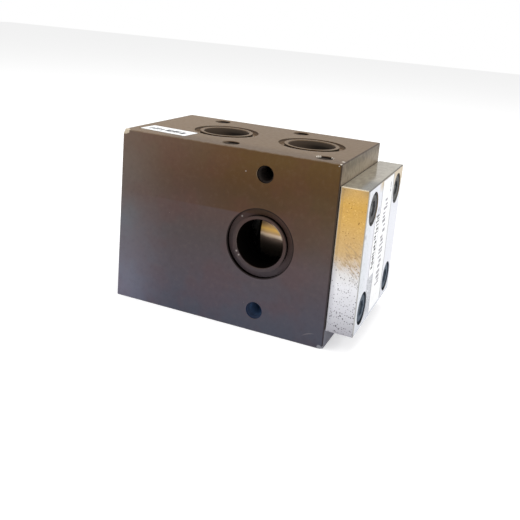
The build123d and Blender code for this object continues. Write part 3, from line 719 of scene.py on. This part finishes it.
def screw_finish():
    """Black oxide, dulled to grey, bluer on the lower screws as a painted reflection, with painted light on the
    upper heads' outer rings and in the sockets.
    """
    metal = Finish("screw_black", roughness=0.6, specular=0.08)
    cloud = metal.noise(2.2 * mm, 4.0)
    low = metal.within(metal.z, 60 * mm, 34 * mm)
    # Painted reflection: bluer on the lower screws.
    dark = metal.mix(low, rgb(72, 72, 73), rgb(72, 83, 96))
    light = metal.mix(low, rgb(90, 90, 89), rgb(92, 103, 116))
    colour = metal.mix(metal.within(cloud, 0.5, 0.8), dark, light)
    colour = metal.over(colour, metal.within(cloud, 0.42, 0.25), rgb(40, 41, 43))
    last_corner = corners_of("cover_screws")[1]
    aside = metal.minus(metal.size_of(metal.y), last_corner.y - screw_head_radius)
    above = metal.minus(metal.size_of(metal.minus(metal.z, axis_z)), last_corner.z - screw_head_radius - axis_z)
    from_screw = metal.math("SQRT", metal.plus(metal.all_of(aside, aside), metal.all_of(above, above)))
    # Painted light on the outer ring of the upper heads.
    rim = metal.all_of(metal.within(from_screw, 4.5 * mm, 7 * mm), metal.less(low))
    colour = metal.over(colour, rim, rgb(112, 112, 113), 0.6)
    # Painted light in the sockets.
    socket = metal.within(metal.x, cover_high.x - 1.2 * mm, cover_high.x - 2.2 * mm)
    socket_painted_light = metal.mix(low, rgb(196, 198, 200), rgb(146, 150, 156))
    metal.colour(metal.over(colour, socket, socket_painted_light, 0.85))
    metal.relief(metal.noise(0.6 * mm), 0.01 * mm)
    return metal.material


def turned_finish(name, shade, tint):
    """Metal turned about the valve's axis: fine rings, some darker oil, and painted black shade on the pieces
    behind the port.
    """
    metal = Finish(name, metallic=0.7, roughness=0.32)
    rings = metal.noise(0.3 * mm, 2.0, stretch=(1.0, 0.02, 0.02))
    oil = metal.within(metal.noise(5 * mm, 4.0), 0.45, 0.7)
    colour = metal.mix(metal.within(rings, 0.3, 0.7), shade, tint)
    colour = metal.over(colour, oil, rgb(70, 58, 44), 0.35)
    # Painted shade: near black on the pieces deep behind the front port.
    painted_shade_behind_port = metal.band(metal.x, -8.0 * mm, -7.6 * mm, 8.6 * mm, 9.0 * mm)
    metal.colour(metal.over(colour, painted_shade_behind_port, rgb(34, 32, 26), 0.8))
    metal.metallic(metal.blend(painted_shade_behind_port, 0.7, 0.2))
    metal.specular(metal.blend(painted_shade_behind_port, 0.5, 0.15))
    metal.roughness(metal.plus(metal.faded(oil, 0.15), 0.32))
    metal.relief(rings, 0.012 * mm)
    return metal.material


def wire_finish():
    """Drawn spring wire, slightly blued and oily."""
    metal = Finish("spring_steel", metallic=0.75, roughness=0.36)
    cloud = metal.noise(2.0 * mm, 4.0)
    metal.colour(metal.mix(metal.within(cloud, 0.35, 0.7), rgb(118, 116, 118), rgb(84, 78, 74)))
    metal.relief(metal.noise(0.25 * mm, 2.0), 0.008 * mm)
    return metal.material


def rubber_finish(name, dark, light, specular):
    """Matt black rubber with a fine grain."""
    rubber = Finish(name, roughness=0.72, specular=specular)
    cloud = rubber.noise(1.5 * mm, 4.0)
    rubber.colour(rubber.mix(rubber.within(cloud, 0.35, 0.7), dark, light))
    rubber.relief(rubber.noise(0.3 * mm), 0.01 * mm)
    return rubber.material


def wax_finish():
    """Wax filled with copper powder."""
    wax = Finish("wax", roughness=0.5)
    wax.colour(wax.mix(wax.spots(0.4 * mm, 0.5), rgb(196, 178, 132), rgb(150, 92, 60)))
    wax.relief(wax.noise(0.8 * mm), 0.02 * mm)
    return wax.material


def label_finish():
    """White printed film, a little soiled, with grey edges and a darker line along one of them."""
    layer = Finish("label_white", roughness=0.4, specular=0.4)
    soil = layer.noise(6 * mm, 4.0)
    colour = layer.mix(layer.within(soil, 0.45, 0.8), rgb(252, 253, 255), rgb(243, 243, 241))
    for node in ("cover_label_wide", "cover_label_narrow"):
        low, high = corners_of(node)
        inset = layer.math("MINIMUM", *(layer.inside(axis, low, high) for axis in (1, 2)))
        border = layer.within(layer.size_of(inset), 0.5 * mm, 0.2 * mm)
        colour = layer.over(colour, border, rgb(150, 148, 146), 0.4)
    far_side = corners_of("cover_label_wide")[1].y
    colour = layer.over(colour, layer.line(layer.y, far_side, 1.9 * mm), rgb(110, 108, 106), 0.8)
    layer.colour(colour)
    layer.relief(layer.noise(9 * mm, 2.0), 0.04 * mm)
    return layer.material


def ink_finish(name, dark, light):
    """Print, thin in places."""
    ink = Finish(name, roughness=0.55)
    worn = ink.noise(1.0 * mm, 4.0)
    ink.colour(ink.mix(ink.within(worn, 0.45, 0.75), dark, light))
    ink.relief(worn, 0.004 * mm)
    return ink.material


def thread_finish():
    """Tapped aluminium, dark inside as painted shade: brown high up, blue low down as a painted reflection, and
    paler at the mouths in the top face as a painted highlight.
    """
    metal = Finish("thread_cut", roughness=0.5, specular=0.1)
    depth = metal.box_depth(block_low, block_high)
    deep = metal.within(depth, 2 * mm, 7 * mm)
    low = metal.within(metal.z, 22 * mm, 18 * mm)
    # Painted shade in the holes, with a painted blue reflection in the lower ones, lighter deeper down.
    light = metal.mix(low, rgb(44, 36, 32), metal.mix(deep, rgb(44, 57, 83), rgb(92, 122, 166)))
    dark = metal.mix(low, rgb(28, 23, 21), metal.mix(deep, rgb(37, 48, 70), rgb(78, 104, 144)))
    colour = metal.mix(metal.within(metal.noise(1.6 * mm), 0.4, 0.7), light, dark)
    # Painted highlight at the mouths in the top face.
    mouth = metal.all_of(metal.within(depth, 3 * mm, 0.8 * mm), metal.within(metal.z, 97 * mm, 99 * mm))
    metal.colour(metal.over(colour, mouth, rgb(84, 74, 65), 0.6))
    metal.relief(metal.noise(0.4 * mm, 2.0), 0.01 * mm)
    return metal.material


finishes = {
    "block_anodised": block_finish(),
    "cover_aluminium": cover_finish(),
    "gasket_sheet": rubber_finish("gasket_sheet", rgb(9, 8, 8), rgb(18, 16, 15), 0.1),
    "screw_black": screw_finish(),
    "steel_turned": turned_finish("steel_turned", rgb(150, 148, 146), rgb(190, 188, 186)),
    "spring_steel": wire_finish(),
    "sleeve_metal": sleeve_finish(),
    "element_brass": turned_finish("element_brass", rgb(176, 136, 62), rgb(208, 170, 92)),
    "seal_rubber": rubber_finish("seal_rubber", rgb(22, 21, 21), rgb(38, 36, 35), 0.3),
    "wax": wax_finish(),
    "label_white": label_finish(),
}
dark_ink = ink_finish("print_dark", rgb(22, 21, 23), rgb(64, 62, 62))
pale_ink = ink_finish("print_pale", rgb(138, 136, 142), rgb(184, 182, 186))
thread_metal = thread_finish()

for subpart in frame["record"]["subparts"]:
    for place in frame["nodes"][subpart["node"]].material_slots:
        place.link = "OBJECT"
        place.material = finishes[subpart["material_slot"]]


def mesh_of(name, shape):
    mesh = bpy.data.meshes.new(name)
    shape.to_mesh(mesh)
    shape.free()
    return mesh


def put_in_scene(name, data):
    thing = bpy.data.objects.new(name, data)
    bpy.context.scene.collection.objects.link(thing)
    return thing


def add_piece(name, shape, material):
    """Puts a finished shape in the scene as a piece of the valve's root body."""
    mesh = mesh_of(name, shape)
    mesh.materials.append(material)
    piece = put_in_scene(name, mesh)
    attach(piece, "root")
    return piece


def close_and_point_out(shape):
    """Joins corners that meet, and turns every face outwards."""
    bmesh.ops.remove_doubles(shape, verts=shape.verts, dist=same_corner)
    bmesh.ops.recalc_face_normals(shape, faces=shape.faces)


def thread_ridge(shape, mouth, outward, hole_radius):
    """One hole's thread: a sharp ridge wound down the wall from just under the mouth."""
    turns = thread_length / thread_pitch
    steps = round(thread_steps_per_turn * turns)
    into = -Vector(outward).normalized()
    side = into.orthogonal().normalized()
    half_root = thread_pitch * thread_root_share
    start = Vector(mouth) + into * (thread_mouth_gap + half_root)
    wall = hole_radius - thread_sinks_in
    corners = [
        start + side * wall - into * half_root,
        start + side * thread_crest_radius,
        start + side * wall + into * half_root,
    ]
    verts = [shape.verts.new(corner) for corner in corners]
    edges = [shape.edges.new((verts[i], verts[(i + 1) % 3])) for i in range(3)]
    bmesh.ops.spin(shape, geom=verts + edges, cent=start, axis=into, angle=2 * math.pi * turns,
                   dvec=into * (thread_length / steps), steps=steps)
    bmesh.ops.holes_fill(shape, edges=[edge for edge in shape.edges if edge.is_boundary], sides=3)


def flange_bolt_mouths():
    """Each port's two bolt holes: where the mouths are, which way they face, and their radius."""
    found = {}
    for port in ("cooler", "inlet", "bypass"):
        mount = mounts[f"{port}_flange_bolts"]
        centre, outward = Vector(mount["pos_m"]), Vector(mount["axis"])
        if "pcd_mm" in mount["dims"]:
            reach = Vector((math.cos(top_bolt_angle), math.sin(top_bolt_angle), 0))
            reach *= mount["dims"]["pcd_mm"] / 2 * mm
        else:
            reach = Vector((0, 0, mount["dims"]["spacing_y_mm"] / 2 * mm))
        found[port] = ([centre + reach, centre - reach], outward, mount["dims"]["hole_r_mm"] * mm)
    return found


def make_threads():
    for port, (mouths, outward, hole_radius) in flange_bolt_mouths().items():
        shape = bmesh.new()
        for mouth in mouths:
            thread_ridge(shape, mouth, outward, hole_radius)
        close_and_point_out(shape)
        add_piece(f"{port}_flange_threads", shape, thread_metal)


def make_coil(name, node, wire_radius, turns):
    """A round-wire spring in the place of its node, with flat ground ends."""
    low, high = corners_of(node)
    length = high.x - low.x
    coil_radius = (high.y - low.y) / 2 - wire_radius
    pitch = length / turns
    wound_turns = turns + 1
    shape = bmesh.new()
    ring = bmesh.ops.create_circle(shape, segments=wire_sides, radius=wire_radius)["verts"]
    start = Vector((low.x - pitch / 2, 0, axis_z - coil_radius))
    bmesh.ops.transform(shape, verts=ring, matrix=Matrix.Translation(start) @ Matrix.Rotation(math.pi / 2, 4, "X"))
    bmesh.ops.spin(shape, geom=shape.verts[:] + shape.edges[:], cent=(0, 0, axis_z), axis=(1, 0, 0),
                   angle=2 * math.pi * wound_turns, dvec=(pitch / coil_steps_per_turn, 0, 0),
                   steps=coil_steps_per_turn * wound_turns)
    for end, outward in ((low.x, -1), (high.x, 1)):
        bmesh.ops.bisect_plane(shape, geom=shape.verts[:] + shape.edges[:] + shape.faces[:],
                               plane_co=(end, 0, 0), plane_no=(outward, 0, 0), clear_outer=True)
    bmesh.ops.holes_fill(shape, edges=[edge for edge in shape.edges if edge.is_boundary])
    close_and_point_out(shape)
    for face in shape.faces:
        on_flat_end = abs(face.normal.x) >= 0.999
        face.smooth = not on_flat_end
    coil = add_piece(name, shape, finishes["spring_steel"])
    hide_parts(node)
    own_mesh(coil)


def add_bar(shape, place, length, height):
    """One printed bar: a thin slab lying in the label's own plane."""
    verts = bmesh.ops.create_cube(shape, size=1.0)["verts"]
    bmesh.ops.transform(shape, verts=verts, matrix=place @ Matrix.Diagonal((length, height, bar_thickness, 1.0)))


def make_print(name, label_plane, ink, weight, rows, seed):
    """Rows of plain bars in mixed heights, printed along a label. Each row is its offset, height and ends."""
    chance = random.Random(seed)
    shape = bmesh.new()
    for offset, height, start, end in rows:
        along = start
        while along < end:
            length = height * weight * chance.choice(bar_lengths)
            tall = height * chance.choice(bar_heights)
            rise = (height - tall) / 2 * chance.choice((-1, 0, 1))
            add_bar(shape, label_plane @ Matrix.Translation((along + length / 2, offset + rise, 0)), length, tall)
            along += length + height * chance.choice(bar_gaps)
    close_and_point_out(shape)
    add_piece(name, shape, ink)


def cover_label_plane(node):
    """The plane of a label on the cover: X runs down the label, Y across it and Z outwards."""
    low, high = corners_of(node)
    middle = Matrix.Translation((high.x, (low.y + high.y) / 2, (low.z + high.z) / 2))
    return middle @ Matrix(((0, 0, 1, 0), (0, 1, 0, 0), (-1, 0, 0, 0), (0, 0, 0, 1)))


def top_label_plane():
    """The plane of the label on the block, turned with it."""
    middle = Matrix.Translation(((label_low.x + label_high.x) / 2, (label_low.y + label_high.y) / 2, label_high.z))
    return middle @ Matrix.Rotation(top_label_turn, 4, "Z")


def make_prints():
    make_print("top_label_print", top_label_plane(), dark_ink, weight=1.7,
               rows=[(-0.4 * mm, 6.8 * mm, -12 * mm, 11 * mm)], seed=4)
    make_print("cover_label_wide_print", cover_label_plane("cover_label_wide"), pale_ink, weight=1.0,
               rows=[(-1.0 * mm, 8.5 * mm, -26 * mm, 26 * mm), (6.6 * mm, 2.8 * mm, -34 * mm, -28 * mm)], seed=7)
    make_print("cover_label_narrow_print", cover_label_plane("cover_label_narrow"), dark_ink, weight=1.0,
               rows=[(0.2 * mm, 6.4 * mm, -17 * mm, 13 * mm)], seed=9)


def seen_directly(tree):
    """1 for rays from the camera, from gloss and through glass, and 0 for the soft light between surfaces."""
    path = tree.nodes.new("ShaderNodeLightPath")
    share = path.outputs["Is Camera Ray"]
    for name in ("Is Glossy Ray", "Is Transmission Ray"):
        larger = tree.nodes.new("ShaderNodeMath")
        larger.operation = "MAXIMUM"
        tree.links.new(share, larger.inputs[0])
        tree.links.new(path.outputs[name], larger.inputs[1])
        share = larger.outputs[0]
    return share


def floor_paper():
    """Matt white paper that glows a little where it is seen."""
    paper = bpy.data.materials.new("floor_paper")
    paper.use_nodes = True
    tree = paper.node_tree
    tree.nodes.clear()
    output, matt, glow, both, lift = (tree.nodes.new(kind) for kind in (
        "ShaderNodeOutputMaterial", "ShaderNodeBsdfDiffuse", "ShaderNodeEmission", "ShaderNodeAddShader",
        "ShaderNodeMath"))
    matt.inputs["Color"].default_value = floor_shade
    lift.operation = "MULTIPLY"
    lift.inputs[1].default_value = floor_lift
    tree.links.new(seen_directly(tree), lift.inputs[0])
    tree.links.new(lift.outputs[0], glow.inputs["Strength"])
    tree.links.new(matt.outputs[0], both.inputs[0])
    tree.links.new(glow.outputs[0], both.inputs[1])
    tree.links.new(both.outputs[0], output.inputs["Surface"])
    return paper


def make_floor():
    """A pale floor that keeps the valve's soft shadow and reads as white elsewhere."""
    shape = bmesh.new()
    bmesh.ops.create_grid(shape, x_segments=1, y_segments=1, size=floor_size / 2)
    mesh = mesh_of("floor", shape)
    mesh.materials.append(floor_paper())
    floor = put_in_scene("floor", mesh)


def make_world():
    """White where it is seen, and dimmer as a light."""
    world = bpy.data.worlds.new("studio")
    bpy.context.scene.world = world
    world.use_nodes = True
    tree = world.node_tree
    background = tree.nodes["Background"]
    background.inputs["Color"].default_value = (1.0, 1.0, 1.0, 1.0)
    strength = tree.nodes.new("ShaderNodeMapRange")
    strength.inputs["To Min"].default_value = world_light
    strength.inputs["To Max"].default_value = 1.0
    tree.links.new(seen_directly(tree), strength.inputs["Value"])
    tree.links.new(strength.outputs[0], background.inputs["Strength"])


def make_lamp(name, place, size, power):
    """A square soft box, turned to the valve's middle."""
    lamp = bpy.data.lights.new(name, "AREA")
    lamp.size = size
    lamp.energy = power
    stand = put_in_scene(name, lamp)
    stand.location = place
    look = Vector((0, 0, axis_z)) - Vector(place)
    stand.rotation_euler = look.to_track_quat("-Z", "Y").to_euler()


def make_camera():
    """The photograph's camera: its place, its turn, its lens and the small shift of its frame."""
    lens = bpy.data.cameras.new("photo_camera")
    lens.sensor_width = sensor_width
    lens.lens = focal_pixels / photo_size * sensor_width
    lens.shift_x = (photo_size / 2 - principal_point[0]) / photo_size
    lens.shift_y = (principal_point[1] - photo_size / 2) / photo_size
    lens.clip_start = 10 * mm
    camera = put_in_scene("photo_camera", lens)
    look = Vector((-math.sin(camera_azimuth) * math.cos(camera_elevation),
                   math.cos(camera_azimuth) * math.cos(camera_elevation), -math.sin(camera_elevation)))
    turn = look.to_track_quat("-Z", "Y") @ Quaternion((0, 0, 1), camera_roll)
    camera.rotation_euler = turn.to_euler()
    camera.location = camera_place
    bpy.context.scene.camera = camera


make_threads()
make_coil("return_coil", "return_spring", wire_radius=1.2 * mm, turns=6)
make_coil("overtravel_coil", "overtravel_spring", wire_radius=1.1 * mm, turns=6)
make_prints()
make_floor()
make_world()
make_lamp("lamp_right", (0.9, -0.25, 0.7), size=0.6, power=4.5)
make_lamp("lamp_left", (-0.8, -0.6, 0.7), size=0.8, power=3.5)
make_lamp("lamp_above", (0.0, 0.15, 1.2), size=0.8, power=5.0)
make_camera()
bpy.context.scene.view_settings.view_transform = "Standard"
